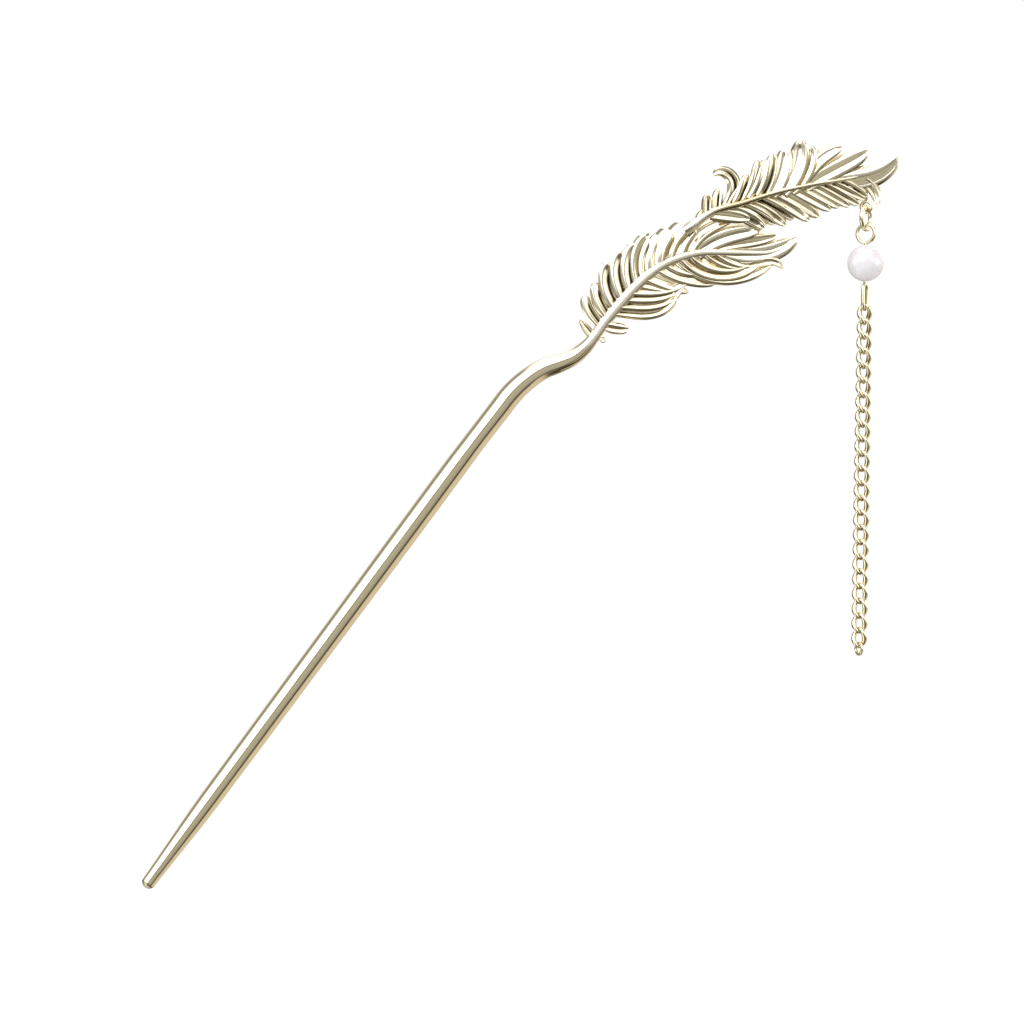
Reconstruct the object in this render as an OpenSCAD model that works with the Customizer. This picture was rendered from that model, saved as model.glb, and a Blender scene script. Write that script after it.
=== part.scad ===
// Hair stick: a tapered metal shaft whose S-shaped neck opens into two feathers, one above the
// other, with a jump ring, a pearl and a fine curb chain hanging behind the upper feather's end.
// X runs to the right, Z up and Y away from the front. Lengths are in millimetres, angles in
// degrees. The origin is the place on the shaft that the hair holds.

/* [Shaft] */
// From the place that the hair holds down to the tip
point_len = 50; // [35:1:70]
// From the place that the hair holds up to the neck
upper_len = 35.5; // [25:0.5:50]
// Width of the shaft at the neck
shaft_w = 3.85; // [3:0.05:5]
// Depth of the shaft at the neck, front to back
shaft_d = 3.4; // [2.6:0.1:4.6]
// Lean of the shaft above the horizontal
shaft_lean = 54.5; // [45:0.5:65]

/* [Neck] */
// Straight distance from the shaft's end to the lower feather
neck_len = 33; // [26:0.5:42]
// Lean of that distance above the horizontal
neck_lean = 44.5; // [38:0.5:50]

/* [Lower feather] */
// Length from root to tip
low_len = 37.5; // [30:0.5:46]
// Lean of its length above the horizontal
low_lean = 26.5; // [18:0.5:34]
// Width of its quill at the root
low_quill = 1.9; // [1.4:0.1:2.6]
// How far its tip bends backwards
low_arch = 0.8; // [0:0.1:2]

/* [Upper feather] */
// Length from root to tip
top_len = 37.2; // [30:0.5:46]
// Lean of its length above the horizontal
top_lean = 19.2; // [12:0.5:26]
// Width of its quill at the root
top_quill = 1.5; // [1.1:0.1:2.2]
// How far its root stands in front of the lower feather
top_front = 0.7; // [0.5:0.1:1]
// How far its tip bends backwards
top_arch = 1.1; // [0:0.1:2]

/* [Barbs] */
// Height of a barb's two crests above its edges
crest_h = 0.45; // [0.3:0.05:0.7]
// Height of the groove's floor between the crests
groove_h = 0.2; // [0.1:0.05:0.3]
// Height of a barb's back above its edges
back_h = 0.4; // [0.25:0.05:0.6]

/* [Hanging loop and ring] */
// Wire of the loop behind the upper feather's end
loop_wire = 0.6; // [0.5:0.05:0.8]
// Gap between the loop and the jump ring in it
loop_gap = 0.2; // [0.15:0.05:0.3]
// Wire of the jump ring
ring_wire = 0.8; // [0.6:0.05:1]
// Outer diameter of the jump ring
ring_d = 4.5; // [4.2:0.1:6]
// Turn of the jump ring about the vertical, 0 facing front
ring_turn = 60; // [40:5:80]

/* [Pin and pearl] */
// Wire of the pin and its two loops
pin_wire = 0.6; // [0.5:0.05:0.7]
// Outer diameter of the pin's upper eye
eye_d = 3.7; // [3.4:0.1:5]
// Outer length of the pin's lower loop
drop_loop_len = 4.8; // [4:0.1:6]
// Outer width of the pin's lower loop
drop_loop_w = 2.5; // [2.2:0.1:3]
// Turn of the lower loop about the vertical, 0 facing front
drop_loop_turn = 64; // [40:2:80]
// Diameter of the pearl
pearl_d = 6; // [5:0.5:8]
// Diameter of the hole through the pearl
pearl_bore = 0.9; // [0.8:0.05:1.2]

/* [Chain] */
// Wire of the chain's links
link_wire = 0.5; // [0.4:0.05:0.55]
// Width of a link
link_w = 2.4; // [2.2:0.1:2.8]
// Distance from one link to the next
link_pitch = 2.45; // [2.2:0.05:2.7]
// Turn of the first link about the vertical
first_turn = 20; // [-90:5:90]
// Turn from the first link to the last
chain_turn = -40; // [-120:5:90]
// Twist of a link's ends, each way (below 0 the near strands run down to the right)
link_twist = -45; // [-55:1:-42]
// Outer diameter of the small ring at the free end
end_link_d = 2.4; // [2:0.1:3]

/* [Fits] */
// Gap left between pieces that touch on the real stick
touch = 0.14; // [0.13:0.01:0.18]

/* [Hidden] */
LINKS = 23;
LINK_NAMES = [for (i = [1 : LINKS]) str("link_", i < 10 ? "0" : "", i)];

gold = "#c9b98f";
nacre = "#e6e1e4";

// Sides of the shaft and the lower quill, and of the upper quill
STEM_SIDES = 12;
QUILL_SIDES = 8;
// Steps and sides of the loops of wire
LOOP_STEPS = 16;
LOOP_SIDES = 8;
LINK_STEPS = 12;
LINK_SIDES = 6;
BALL_SIDES = 10;
CURL_STEPS = 10;
// Smoothness of the round rings, the pin and the pearl
RING_STEPS = 48;
WIRE_SIDES = 24;
PEARL_SIDES = 64;
BORE_SIDES = 32;

// Where the upper feather's root, the pivot, the stub and the scroll lie: along and across,
// as shares of the feather that carries them
top_root_share = [0.564, 0.253];
pivot_share = [0.813, -0.151];
stub_share = [0.838, -0.064];
scroll_share = [0.03, -0.026];
// How far the hanging loop stands behind the shaft's middle
loop_back = 0.8;
// How much thicker the stub is where it meets the end leaf
stub_swell = 1.4;
// The scroll: radius, wire, where it starts, turn of a step and how much of the radius it loses
scroll_r = 0.5;
scroll_wire = 0.35;
scroll_start = 120;
scroll_step = 40;
scroll_loss = 0.6;
// The pin between its loops is a little thinner than its wire
shank_share = 0.9;
// The lower quill is a little flatter than it is wide
quill_flat = 0.9;

// A barb has this many steps and one more for each such turn, up to the most
least_steps = 3;
most_steps = 9;
bend_step = 30;
// Its steps are shorter towards the tip
step_power = 1.4;
// It is full wide from here, and at the tip a little is left of its width and its height
full_at = 0.45;
tip_share = 0.015;
edge_share = 0.4;

// The shaft's width, as shares of its length and of its width at the neck
taper = [[0.03, 0.62], [0.1, 0.735], [0.18, 0.865], [0.26, 0.9], [0.42, 0.93], [0.6, 0.955], [0.8, 0.99]];

// The neck's S-bend: along, across (both shares of its length), width, depth (shares of the shaft's)
neck_rows = [
    [0, 0, 1, 1],
    [0.2, 0.034, 0.97, 1],
    [0.4, 0.065, 0.98, 0.98],
    [0.5, 0.08, 0.98, 0.95],
    [0.6, 0.08, 0.94, 0.92],
    [0.7, 0.062, 0.88, 0.86],
    [0.78, 0.028, 0.82, 0.8],
    [0.85, 0.001, 0.71, 0.74],
    [0.925, -0.007, 0.62, 0.66]
];

// A quill's line: along, across (shares of the feather's length), width (share of the quill's)
low_quill_rows = [
    [0, 0, 1],
    [0.067, 0.037, 0.86],
    [0.168, 0.084, 0.8],
    [0.289, 0.131, 0.7],
    [0.402, 0.157, 0.6],
    [0.498, 0.155, 0.56],
    [0.587, 0.136, 0.48],
    [0.668, 0.1, 0.4],
    [0.748, 0.06, 0.34],
    [0.868, 0.004, 0.28],
    [0.97, -0.004, 0.2]
];
top_quill_rows = [
    [0, 0, 0.9],
    [0.041, 0.01, 1],
    [0.083, 0.024, 0.8],
    [0.135, 0.038, 0.66],
    [0.184, 0.043, 0.6],
    [0.276, 0.036, 0.54],
    [0.37, 0.036, 0.46],
    [0.463, 0.033, 0.42],
    [0.555, 0.024, 0.38],
    [0.646, 0.013, 0.34],
    [0.725, -0.001, 0.3],
    [0.86, -0.014, 0.24],
    [0.95, 0.01, 0.2]
];

// Barbs, one row each: place of the root along the feather, direction at root, middle and tip
// (degrees from the feather's length), length and half width (shares of the feather's length),
// bluntness of the tip, width at the root (share of the full width), how far the tip rises to the
// front (mm), slope across (raises the left edge)
ALONG = 0;
START = 1;
MIDDLE = 2;
END = 3;
LENGTH = 4;
HALF_W = 5;
BLUNT = 6;
NARROW = 7;
RISE = 8;
SLOPE = 9;
low_barbs = [
    [0.00, 105, 103, 98, 0.100, 0.019, 2, 0.6, 0.2, 0.2],
    [0.055, 110, 95, 66, 0.155, 0.027, 3, 0.85, 0.1, 0.3],
    [0.105, 105, 87, 60, 0.164, 0.030, 6, 0.85, 0, 0.3],
    [0.155, 103, 76, 38, 0.208, 0.034, 6, 0.85, 0.2, 0.3],
    [0.205, 97, 69, 33, 0.215, 0.034, 6, 0.85, 0, 0.3],
    [0.250, 92, 61, 27, 0.213, 0.034, 6, 0.85, -0.1, 0.3],
    [0.290, 86, 56, 25, 0.220, 0.034, 6, 0.85, 0.1, 0.3],
    [0.335, 82, 55, 27, 0.200, 0.032, 6, 0.85, -0.1, 0.3],
    [0.385, 77, 46, 17, 0.190, 0.036, 6, 0.85, 0.5, 0.3],
    [0.430, 70, 38, 8, 0.205, 0.036, 6, 0.85, 0.6, 0.3],
    [0.480, 62, 36, 12, 0.175, 0.034, 6, 0.85, 0.5, 0.3],
    [0.525, 58, 34, 10, 0.115, 0.028, 3, 0.9, 0.1, 0.2],
    [0.530, 58, 8, -14, 0.290, 0.033, 3, 0.85, 0.5, 0.3],
    [0.570, 24, -8, -18, 0.315, 0.040, 6, 0.8, 0.3, 0.3],
    [0.600, 4, -17, -8, 0.335, 0.031, 6, 0.8, 0.1, 0.2],
    [0.695, -38, -15, 16, 0.332, 0.043, 4, 0.6, 0.2, -0.1],
    [0.06, -45, -35, -25, 0.115, 0.024, 6, 0.7, 0.5, 0.3],
    [0.125, -28, -20, 48, 0.315, 0.021, 5, 0.8, 0.4, -0.4],
    [0.165, -28, -18, 35, 0.300, 0.023, 4, 0.9, 0.2, -0.3],
    [0.205, -28, -18, 20, 0.275, 0.026, 3, 0.9, 0, -0.3],
    [0.245, -28, -20, 2, 0.245, 0.026, 3, 0.9, 0, -0.3],
    [0.285, -38, -34, -26, 0.215, 0.026, 3, 0.9, -0.1, -0.3],
    [0.330, -48, -46, -42, 0.195, 0.026, 3, 0.9, -0.1, -0.3],
    [0.395, -58, -40, -27, 0.265, 0.025, 5, 0.9, -0.2, -0.3],
    [0.440, -60, -36, -20, 0.200, 0.024, 4, 0.9, -0.1, -0.3],
    [0.485, -72, -29, 10, 0.455, 0.023, 4, 0.9, 0.5, -0.3],
    [0.515, -76, -30, 8, 0.370, 0.030, 3, 0.9, 0.3, -0.2],
    [0.560, -70, -35, -8, 0.260, 0.027, 3, 0.9, 0.1, -0.3],
    [0.620, -65, -46, -25, 0.190, 0.024, 3, 0.9, 0, -0.3],
    [0.665, -60, -45, -20, 0.180, 0.026, 3, 0.9, 0, -0.3],
    [0.720, -132, -10, -100, 0.275, 0.021, 6, 0.7, 0.6, 0.3]
];
top_barbs = [
    [0.135, -20, -26, -34, 0.180, 0.033, 4, 0.8, 0.2, 0.2],
    [0.20, -30, -44, -58, 0.205, 0.031, 6, 0.8, 0.3, 0.3],
    [0.27, -38, -46, -56, 0.185, 0.026, 6, 0.85, 0.1, 0.4],
    [0.31, -40, -50, -60, 0.203, 0.026, 6, 0.85, 0.3, 0.4],
    [0.36, -42, -48, -55, 0.185, 0.026, 6, 0.85, 0.1, 0.4],
    [0.41, -42, -50, -62, 0.215, 0.030, 6, 0.85, 0.4, 0.4],
    [0.46, -42, -50, -60, 0.210, 0.031, 6, 0.85, 0.1, 0.4],
    [0.52, -42, -47, -52, 0.195, 0.028, 6, 0.85, 0.2, 0.4],
    [0.57, -45, -48, -52, 0.185, 0.025, 6, 0.85, 0, 0.4],
    [0.61, -45, -48, -52, 0.193, 0.023, 6, 0.85, 0.1, 0.4],
    [0.65, -45, -48, -50, 0.197, 0.022, 6, 0.85, 0, 0.4],
    [0.69, -42, -45, -48, 0.170, 0.021, 6, 0.85, 0, 0.4],
    [0.73, -40, -48, -55, 0.145, 0.021, 6, 0.85, 0, 0.4],
    [0.07, 44, 48, 50, 0.060, 0.018, 3, 0.8, 0, 0.2],
    [0.12, 74, 71, 66, 0.092, 0.023, 7, 0.8, 0.3, 0.2],
    [0.165, 68, 66, 60, 0.100, 0.023, 5, 0.8, 0, 0.2],
    [0.205, 32, 84, 212, 0.243, 0.028, 5, 0.7, 0.8, 0.1],
    [0.225, 34, 44, 54, 0.115, 0.020, 3, 0.8, 0.1, 0.2],
    [0.26, 42, 52, 70, 0.145, 0.027, 7, 0.95, 0.25, 0.2],
    [0.297, 36, 54, 78, 0.200, 0.026, 7, 0.8, 0.5, 0.2],
    [0.33, 34, 53, 75, 0.197, 0.031, 7, 0.85, 0.1, 0.2],
    [0.37, 37, 56, 78, 0.205, 0.030, 7, 0.85, 0.3, 0.2],
    [0.42, 37, 55, 75, 0.217, 0.037, 7, 0.85, 0, 0.2],
    [0.47, 28, 52, 83, 0.250, 0.040, 7, 0.85, 0.6, 0.2],
    [0.51, 22, 48, 84, 0.225, 0.036, 7, 0.85, 0.2, 0.2],
    [0.55, 46, 27, -5, 0.270, 0.032, 7, 0.8, 0.5, 0.2],
    [0.58, 19, 9, 14, 0.320, 0.040, 7, 0.8, 0.4, 0.2],
    [0.65, 0, 4, 8, 0.205, 0.023, 3, 0.8, 0, 0.1],
    [0.72, -18, -2, 44, 0.303, 0.046, 3, 0.7, 0.6, 0],
    [0.81, -45, -66, -125, 0.165, 0.018, 5, 0.8, 0.3, 0.3]
];

// A barb's section: across (share of its half width) and height (millimetres, to the back)
barb_section = [[1, 0], [0, back_h], [-1, 0], [-0.6, -crest_h], [0, -groove_h], [0.6, -crest_h]];

function turned(p, a) = [p[0] * cos(a) - p[1] * sin(a), p[0] * sin(a) + p[1] * cos(a)];
function along(a, d) = [d * cos(a), d * sin(a)];
function normal(a) = [-sin(a), cos(a)];
function unit(v) = v / norm(v);

// Where a point given as shares of a feather lies in the picture plane
FEATHER_ROOT = 0;
FEATHER_LEAN = 1;
FEATHER_LEN = 2;
FEATHER_ROWS = 3;
FEATHER_DEPTHS = 4;
function in_feather(f, share) = f[FEATHER_ROOT] + turned(f[FEATHER_LEN] * share, f[FEATHER_LEAN]);
function quill_across(f, u) = lookup(u, [for (row = f[FEATHER_ROWS]) [row[0], row[1]]]);
function quill_depth(f, u) = lookup(u, [[0, f[FEATHER_DEPTHS][0]], [1, f[FEATHER_DEPTHS][1]]]);

neck_start = along(shaft_lean, upper_len);
low_root = neck_start + along(neck_lean, neck_len);
low_feather = [low_root, low_lean, low_len, low_quill_rows, [0, low_arch]];
top_root = in_feather(low_feather, top_root_share);
top_feather = [top_root, top_lean, top_len, top_quill_rows, [-top_front, top_arch - top_front]];

// Rows of a tube: x, z, y, half width, half depth
tip_half = shaft_w * taper[0][1] / 2;
shaft_len = point_len + upper_len;
depth_share = shaft_d / shaft_w;
function shaft_row(d, half) = concat(along(shaft_lean, d - point_len), [0, half, half * depth_share]);
shaft_rows = concat(
    [for (a = [10, 30, 50, 70]) shaft_row(tip_half * (1 - cos(a)), tip_half * sin(a))],
    [for (row = taper) shaft_row(row[0] * shaft_len, row[1] * shaft_w / 2)]
);
neck_line = [for (row = neck_rows) concat(
    neck_start + turned(neck_len * [row[0], row[1]], neck_lean),
    [0, row[2] * shaft_w / 2, row[3] * shaft_d / 2]
)];
function quill_line(f, w, flat) = [for (row = f[FEATHER_ROWS]) concat(
    in_feather(f, [row[0], row[1]]),
    [quill_depth(f, row[0]), row[2] * w / 2, row[2] * w / 2 * flat]
)];

// The hanging loop, the pivot in it and the heights of what hangs below
pivot_2d = in_feather(top_feather, pivot_share);
pivot = [pivot_2d[0], loop_back, pivot_2d[1]];
loop_r = (ring_wire + loop_wire) / 2 + loop_gap;
ring_r = (ring_d - ring_wire) / 2;
eye_r = (eye_d - pin_wire) / 2;
eye_turn = ring_turn - 90;
ring_z = -ring_r;
eye_top_z = ring_z - ring_r + (ring_wire + pin_wire) / 2 + touch;
eye_z = eye_top_z - eye_r;
pearl_z = eye_z - eye_d / 2 - touch - pearl_d / 2;
drop_loop_top = pearl_z - pearl_d / 2 - touch;
drop_loop_low = drop_loop_top - drop_loop_len + pin_wire / 2;
link_half = (link_pitch + link_wire + touch) / 2;
first_link_z = drop_loop_low + (pin_wire + link_wire) / 2 + touch - link_half;
last_link_z = first_link_z - (LINKS - 1) * link_pitch;
end_link_z = last_link_z - link_half + link_wire + touch - (end_link_d - link_wire) / 2;

// A closed body through rows of x, z, y, half width and half depth, round or oval in section
module tube(rows, sides) {
    n = len(rows);
    rings = [for (i = [0 : n - 1]) let (
        before = rows[max(0, i - 1)],
        after = rows[min(n - 1, i + 1)],
        across = normal(atan2(after[1] - before[1], after[0] - before[0]))
    ) for (j = [0 : sides - 1]) let (
        a = 360 * j / sides,
        p = [rows[i][0], rows[i][1]] + across * rows[i][3] * cos(a)
    ) [p[0], rows[i][2] + rows[i][4] * sin(a), p[1]]];
    skin(rings, n, sides);
}

// Joins rings of points, one after the other, and closes both ends
module skin(points, rings, sides) {
    walls = [for (i = [0 : rings - 2], j = [0 : sides - 1], half = [0, 1]) let (
        a = i * sides + j,
        b = i * sides + (j + 1) % sides
    ) half == 0 ? [a, b, b + sides] : [a, b + sides, a + sides]];
    ends = [
        [for (j = [sides - 1 : -1 : 0]) j],
        [for (j = [0 : sides - 1]) (rings - 1) * sides + j]
    ];
    polyhedron(points, concat(walls, ends), convexity = 8);
}

// A closed loop of round wire through points about the origin
module wire_loop(points, wire, sides) {
    n = len(points);
    rings = [for (i = [0 : n - 1]) let (
        forward = unit(points[(i + 1) % n] - points[(i + n - 1) % n]),
        outward = unit(points[i] - forward * (points[i] * forward)),
        side = cross(forward, outward)
    ) for (j = [0 : sides - 1]) let (a = 360 * j / sides)
        points[i] + wire / 2 * (outward * cos(a) + side * sin(a))];
    walls = [for (i = [0 : n - 1], j = [0 : sides - 1], half = [0, 1]) let (
        a = i * sides + j,
        b = i * sides + (j + 1) % sides,
        c = (i + 1) % n * sides + (j + 1) % sides,
        d = (i + 1) % n * sides + j
    ) half == 0 ? [a, c, b] : [a, d, c]];
    polyhedron(rings, walls, convexity = 4);
}

// One barb: a blade that bends from its root to its tip, with two crests and a groove in front
function swell(row, s) =
    (row[NARROW] + (1 - row[NARROW]) * sin(90 * min(1, s / full_at)))
    * sqrt(1 - (1 - tip_share) * pow(s, row[BLUNT]));
function heading(row, s) =
    row[START] * (1 - s) * (1 - 2 * s) + 4 * row[MIDDLE] * s * (1 - s) + row[END] * s * (2 * s - 1);
function share(i, steps) = 1 - pow(1 - i / steps, step_power);

// The line of a barb's middle, found by steps along its heading
function barb_line(f, row, steps) = [
    for (
        i = 0, p = in_feather(f, [row[ALONG], quill_across(f, row[ALONG])]);
        i <= steps;
        p = p + along(
            f[FEATHER_LEAN] + heading(row, (share(i, steps) + share(i + 1, steps)) / 2),
            f[FEATHER_LEN] * row[LENGTH] * (share(i + 1, steps) - share(i, steps))
        ),
        i = i + 1
    ) p
];
module barb(f, row) {
    steps = min(most_steps, least_steps + round(abs(row[END] - row[START]) / bend_step));
    line = barb_line(f, row, steps);
    y = quill_depth(f, row[ALONG]);
    rings = [for (i = [0 : steps]) let (
        s = share(i, steps),
        fat = swell(row, s),
        half = f[FEATHER_LEN] * row[HALF_W] * fat,
        high = edge_share + (1 - edge_share) * fat,
        across = normal(f[FEATHER_LEAN] + heading(row, s))
    ) for (corner = barb_section) let (p = line[i] + across * half * corner[0])
        [p[0], y - row[RISE] * s * s - row[SLOPE] * half * corner[0] + high * corner[1], p[1]]];
    skin(rings, steps + 1, len(barb_section));
}

module casting() {
    color(gold) {
        tube(concat(shaft_rows, neck_line, quill_line(low_feather, low_quill, quill_flat)), STEM_SIDES);
        tube(quill_line(top_feather, top_quill, 1), QUILL_SIDES);
        for (row = low_barbs) barb(low_feather, row);
        for (row = top_barbs) barb(top_feather, row);
        hanging_loop();
        scroll();
    }
}

// The loop that the jump ring hangs in, and the stub that joins it to the end leaf
module hanging_loop() {
    middle = pivot + [0, 0, loop_gap - touch];
    leaf = in_feather(top_feather, stub_share);
    translate(middle) rotate([0, 0, ring_turn - 90])
        wire_loop(
            [for (i = [0 : LOOP_STEPS - 1]) let (a = 360 * i / LOOP_STEPS) loop_r * [cos(a), 0, sin(a)]],
            loop_wire, LOOP_SIDES
        );
    hull() {
        translate(middle + [0, 0, loop_r]) sphere(d = loop_wire, $fn = BALL_SIDES);
        translate([leaf[0], quill_depth(top_feather, stub_share[0]), leaf[1]])
            sphere(d = loop_wire * stub_swell, $fn = BALL_SIDES);
    }
}

// The small curled end of wire below the lower feather's root
module scroll() {
    centre = in_feather(low_feather, scroll_share);
    function curl(i) =
        centre + along(scroll_start - scroll_step * i, scroll_r * (1 - scroll_loss * i / CURL_STEPS));
    for (i = [0 : CURL_STEPS - 1]) hull() for (p = [curl(i), curl(i + 1)])
        translate([p[0], -scroll_wire / 2, p[1]]) sphere(d = scroll_wire, $fn = LOOP_SIDES);
}

// A round ring of wire that stands upright about the origin
module ring(r, wire) {
    rotate([90, 0, 0]) rotate_extrude($fn = RING_STEPS) translate([r, 0]) circle(d = wire, $fn = WIRE_SIDES);
}

module jump_ring() {
    color(gold) translate(pivot + [0, 0, ring_z]) rotate([0, 0, ring_turn]) ring(ring_r, ring_wire);
}

module eye_pin() {
    shank_low = drop_loop_top - pin_wire / 2;
    color(gold) translate(pivot) {
        translate([0, 0, eye_z]) rotate([0, 0, eye_turn]) ring(eye_r, pin_wire);
        translate([0, 0, shank_low])
            cylinder(d = pin_wire * shank_share, h = eye_z - eye_r - shank_low, $fn = WIRE_SIDES);
        rotate([0, 0, drop_loop_turn]) drop_loop();
    }
}

// The long loop below the pearl: two half rings joined by straight wires
module drop_loop() {
    r = (drop_loop_w - pin_wire) / 2;
    high = drop_loop_top - pin_wire / 2 - r;
    low = drop_loop_low + r;
    for (end = [[high, 0], [low, 180]]) translate([0, 0, end[0]]) rotate([90, end[1], 0])
        rotate_extrude(angle = 180, $fn = RING_STEPS)
            translate([r, 0]) circle(d = pin_wire, $fn = WIRE_SIDES);
    for (side = [-1, 1]) translate([side * r, 0, low])
        cylinder(d = pin_wire, h = high - low, $fn = WIRE_SIDES);
}

module pearl() {
    color(nacre) translate(pivot + [0, 0, pearl_z]) difference() {
        sphere(d = pearl_d, $fn = PEARL_SIDES);
        cylinder(d = pearl_bore, h = 2 * pearl_d, center = true, $fn = BORE_SIDES);
    }
}

// A twisted link: its upper end is turned one way and its lower end the other
module link(i) {
    b = (link_w - link_wire) / 2;
    points = [for (k = [0 : LINK_STEPS - 1]) let (t = 360 * k / LINK_STEPS, a = link_twist * cos(t))
        [b * sin(t) * cos(a), b * sin(t) * sin(a), link_half * cos(t)]];
    color(gold) translate(pivot + [0, 0, first_link_z - (i - 1) * link_pitch])
        rotate([0, 0, first_turn + chain_turn * (i - 1) / (LINKS - 1)])
            wire_loop(points, link_wire, LINK_SIDES);
}

module end_link() {
    turn = first_turn + chain_turn + 90 - link_twist;
    color(gold) translate(pivot + [0, 0, end_link_z]) rotate([0, 0, turn])
        ring((end_link_d - link_wire) / 2, link_wire);
}

casting();
jump_ring();
eye_pin();
pearl();
for (i = [1 : LINKS]) link(i);
end_link();
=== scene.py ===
# %% [markdown]
# # A hair stick with two cast feathers and a pearl drop
# The stick is one plated casting: a tapered shaft, an S-shaped neck and two feathers. A jump ring, a
# pearl on a pin and a fine curb chain hang from its end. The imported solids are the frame; everything
# here is worked out around them, in metres, with the front facing -Y.

import math

import bpy
import numpy as np
from mathutils import Matrix, Vector


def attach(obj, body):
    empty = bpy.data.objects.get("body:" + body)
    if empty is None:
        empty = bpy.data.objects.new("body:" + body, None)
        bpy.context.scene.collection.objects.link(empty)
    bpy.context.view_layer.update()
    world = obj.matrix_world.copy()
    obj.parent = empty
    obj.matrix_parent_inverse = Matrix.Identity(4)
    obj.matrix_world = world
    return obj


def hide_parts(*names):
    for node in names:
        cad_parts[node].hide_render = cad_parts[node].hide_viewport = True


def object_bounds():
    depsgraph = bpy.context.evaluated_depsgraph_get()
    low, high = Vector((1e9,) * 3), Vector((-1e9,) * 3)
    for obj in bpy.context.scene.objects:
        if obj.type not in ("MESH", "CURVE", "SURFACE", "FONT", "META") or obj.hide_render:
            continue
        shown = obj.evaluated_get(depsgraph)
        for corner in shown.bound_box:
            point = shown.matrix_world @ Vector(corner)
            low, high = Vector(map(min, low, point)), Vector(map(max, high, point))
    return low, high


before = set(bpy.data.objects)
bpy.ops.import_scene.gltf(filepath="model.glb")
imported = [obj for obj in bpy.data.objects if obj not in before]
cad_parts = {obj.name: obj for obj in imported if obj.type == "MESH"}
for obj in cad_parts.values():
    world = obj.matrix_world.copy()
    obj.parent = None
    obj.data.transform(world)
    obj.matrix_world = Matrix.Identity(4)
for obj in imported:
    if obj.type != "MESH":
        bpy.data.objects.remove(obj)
solid_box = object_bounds()
MM = 0.001

# %% [markdown]
# ## Camera and background
# The photograph looks straight at the stick's front. It is turned by about one degree, so the camera
# rolls by that much and the drop still hangs straight down in the model. A long lens keeps the view
# almost flat, as in a catalogue picture. The photograph is 1024 pixels for about 171 mm.

# %% Place the camera
PIXEL = MM / 6
ROLL = math.radians(0.95)
LENS = 100
SENSOR = 36
ORIGIN_PIXEL = np.array([323.7, 645.5])
MIDDLE_PIXEL = np.array([512.0, 512.5])


def turned(point, degrees):
    """Turns points of a plane about the origin: (x cos a - y sin a, x sin a + y cos a)."""
    a = np.radians(degrees)
    x, y = point[..., 0], point[..., 1]
    return np.stack([x * np.cos(a) - y * np.sin(a), x * np.sin(a) + y * np.cos(a)], axis=-1)


aim = turned((MIDDLE_PIXEL - ORIGIN_PIXEL) * [1, -1] * PIXEL, math.degrees(ROLL))
distance = 1024 * PIXEL * LENS / SENSOR
camera_data = bpy.data.cameras.new("camera")
camera_data.lens = LENS
camera_data.sensor_width = SENSOR
camera_data.clip_start = 0.01
camera = bpy.data.objects.new("camera", camera_data)
bpy.context.collection.objects.link(camera)
camera.location = (aim[0], -distance, aim[1])
camera.rotation_mode = "QUATERNION"
camera.rotation_quaternion = Matrix(
    (
        (math.cos(ROLL), -math.sin(ROLL), 0),
        (0, 0, -1),
        (math.sin(ROLL), math.cos(ROLL), 0),
    )
).to_quaternion()
bpy.context.scene.camera = camera
print("camera aims at", aim.round(4), "from", round(distance, 3), "m")

# %% [markdown]
# ## Shader maths in plain expressions
# A socket is wrapped in a small class, so that `1 - mask * 0.5` adds the Math nodes by itself. Every
# other node comes from one method that takes its type, its settings and its inputs.

# %% The expression class


class Wire:
    """A number that varies over a surface: an output socket whose operators add Math nodes."""

    def __init__(self, paint, socket):
        self.paint, self.socket = paint, socket

    def math(self, operation, *values):
        """Adds one Math node of this operation and gives back its result."""
        return self.paint.node("ShaderNodeMath", {"operation": operation}, dict(enumerate(values)))

    def __add__(self, other):
        return self.math("ADD", self, other)

    __radd__ = __add__

    def __mul__(self, other):
        return self.math("MULTIPLY", self, other)

    def __sub__(self, other):
        return self.math("SUBTRACT", self, other)

    def __rsub__(self, other):
        return self.math("SUBTRACT", other, self)

    def __truediv__(self, other):
        return self.math("DIVIDE", self, other)

    def between(self, low, high):
        """0 below low, 1 above high, and a smooth step from one to the other."""
        return self.paint.node(
            "ShaderNodeMapRange",
            {"interpolation_type": "SMOOTHSTEP", "clamp": True},
            {"Value": self, "From Min": low, "From Max": high},
        )


class Paint:
    """The node tree of a material or world, filled by one general method."""

    def __init__(self, tree):
        self.tree = tree
        tree.nodes.clear()

    def node(self, kind, settings=None, inputs=None, output=0):
        """Adds a node, applies its settings first and then its inputs; gives back one output."""
        made = self.tree.nodes.new(kind)
        for key, value in (settings or {}).items():
            if key == "stops":
                ramp = made.color_ramp
                ramp.elements[0].color, ramp.elements[1].color = (*value[0][1], 1), (*value[-1][1], 1)
                for place, colour in value[1:-1]:
                    ramp.elements.new(place).color = (*colour, 1)
            else:
                setattr(made, key, value)
        for key, value in (inputs or {}).items():
            if isinstance(value, Wire):
                self.tree.links.new(value.socket, made.inputs[key])
            else:
                made.inputs[key].default_value = value
        return Wire(self, made.outputs[output])

    def show(self, shader, kind="ShaderNodeOutputMaterial"):
        """Joins a finished shader to the tree's output."""
        self.tree.links.new(shader.socket, self.tree.nodes.new(kind).inputs["Surface"])

    def mix(self, factor, first, second):
        """Mixes two colours, each a link or (red, green, blue)."""
        made = self.tree.nodes.new("ShaderNodeMix")
        made.data_type = "RGBA"
        for socket, value in ((made.inputs[0], factor), (made.inputs[6], first), (made.inputs[7], second)):
            if isinstance(value, Wire):
                self.tree.links.new(value.socket, socket)
            else:
                socket.default_value = (*value, 1) if isinstance(value, tuple) else value
        return Wire(self, made.outputs[2])


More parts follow.
